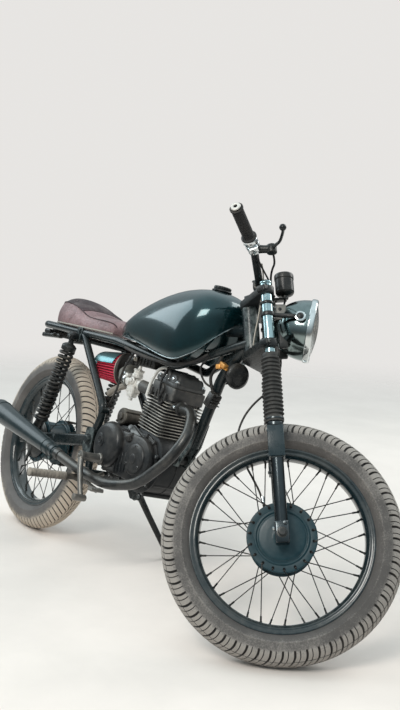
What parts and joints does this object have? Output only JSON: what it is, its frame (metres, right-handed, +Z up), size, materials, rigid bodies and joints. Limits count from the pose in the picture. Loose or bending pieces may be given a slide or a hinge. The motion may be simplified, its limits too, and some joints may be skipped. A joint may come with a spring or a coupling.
{
  "type": "cafe racer motorcycle",
  "caption": "Cafe racer motorcycle with a single-cylinder engine, wire wheels and a flat seat, parked on its side stand.",
  "frame": {"origin": "on the ground under the middle of the parked motorcycle's box", "axes": "+X forward along the motorcycle's length, +Y to its left, +Z up"},
  "size_m": [1.8267, 0.7429, 1.158],
  "materials": {
    "frame_black": "satin",
    "tank_green": "gloss",
    "black_plastic": "satin",
    "brown_leather": "matte",
    "engine_grey": "satin",
    "fin_grey": "matte",
    "pale_alloy": "satin",
    "grey_rubber": "matte",
    "filter_red": "matte",
    "exhaust_black": "satin",
    "bare_steel": "satin",
    "black_rubber": "matte",
    "slider_metal": "satin",
    "shock_black": "satin",
    "smoked_chrome": "gloss",
    "lamp_glass": "gloss",
    "tyre_rubber": "matte",
    "rim_black": "satin",
    "hub_black": "satin",
    "spoke_steel": "satin"
  },
  "bodies": {
    "chassis": {"frame": "frame_black", "swingarm": "frame_black", "shock_absorbers": "shock_black", "fuel_tank": "tank_green", "filler_cap": "black_plastic", "seat": "brown_leather", "tail_lamp": "frame_black", "crankcase": "engine_grey", "engine_covers": "engine_grey", "cylinder": "fin_grey", "cylinder_head": "fin_grey", "rocker_cover": "fin_grey", "starter_motor": "pale_alloy", "carburettor": "pale_alloy", "intake_duct": "grey_rubber", "air_filter": "filter_red", "exhaust_pipe": "exhaust_black", "muffler": "exhaust_black", "kick_lever": "bare_steel", "footpegs": "black_rubber", "foot_controls": "bare_steel", "drive_chain": "bare_steel", "horn": "black_plastic", "rear_axle": "bare_steel"},
    "steering": {"fork_tubes": "bare_steel", "fork_gaiters": "black_rubber", "fork_sliders": "slider_metal", "fork_clamps": "frame_black", "handlebar": "bare_steel", "grips": "black_rubber", "hand_levers": "black_plastic", "headlamp_shell": "smoked_chrome", "headlamp_lens": "lamp_glass", "speedometer": "black_plastic", "front_axle": "bare_steel", "brake_cable": "black_rubber"},
    "front_wheel": {"front_tyre": "tyre_rubber", "front_rim": "rim_black", "front_hub": "hub_black", "front_spokes": "spoke_steel"},
    "rear_wheel": {"rear_tyre": "tyre_rubber", "rear_rim": "rim_black", "rear_hub": "hub_black", "rear_spokes": "spoke_steel"},
    "side_stand_leg": {"side_stand": "frame_black"}
  },
  "joints": [
    {"name": "steering_turn", "type": "hinge", "parent": "chassis", "child": "steering", "pos_m": [0.37395, 0.06078, 0.80599], "axis": [-0.4322, 0.2174, 0.8752], "range_deg": [-94, 0]},
    {"name": "front_wheel_spin", "type": "hinge", "parent": "steering", "child": "front_wheel", "pos_m": [0.66274, -0.03215, 0.28611], "axis": [-0.6607, 0.5842, -0.4714], "continuous": true},
    {"name": "rear_wheel_spin", "type": "hinge", "parent": "chassis", "child": "rear_wheel", "pos_m": [-0.59842, -0.06532, 0.30707], "axis": [-0.0017, 0.9703, -0.2419], "continuous": true},
    {"name": "stand_fold", "type": "hinge", "parent": "chassis", "child": "side_stand_leg", "pos_m": [-0.09907, 0.0092, 0.21386], "axis": [-0.3228, 0.9446, -0.0592], "range_deg": [0, 101.2]}
  ]
}
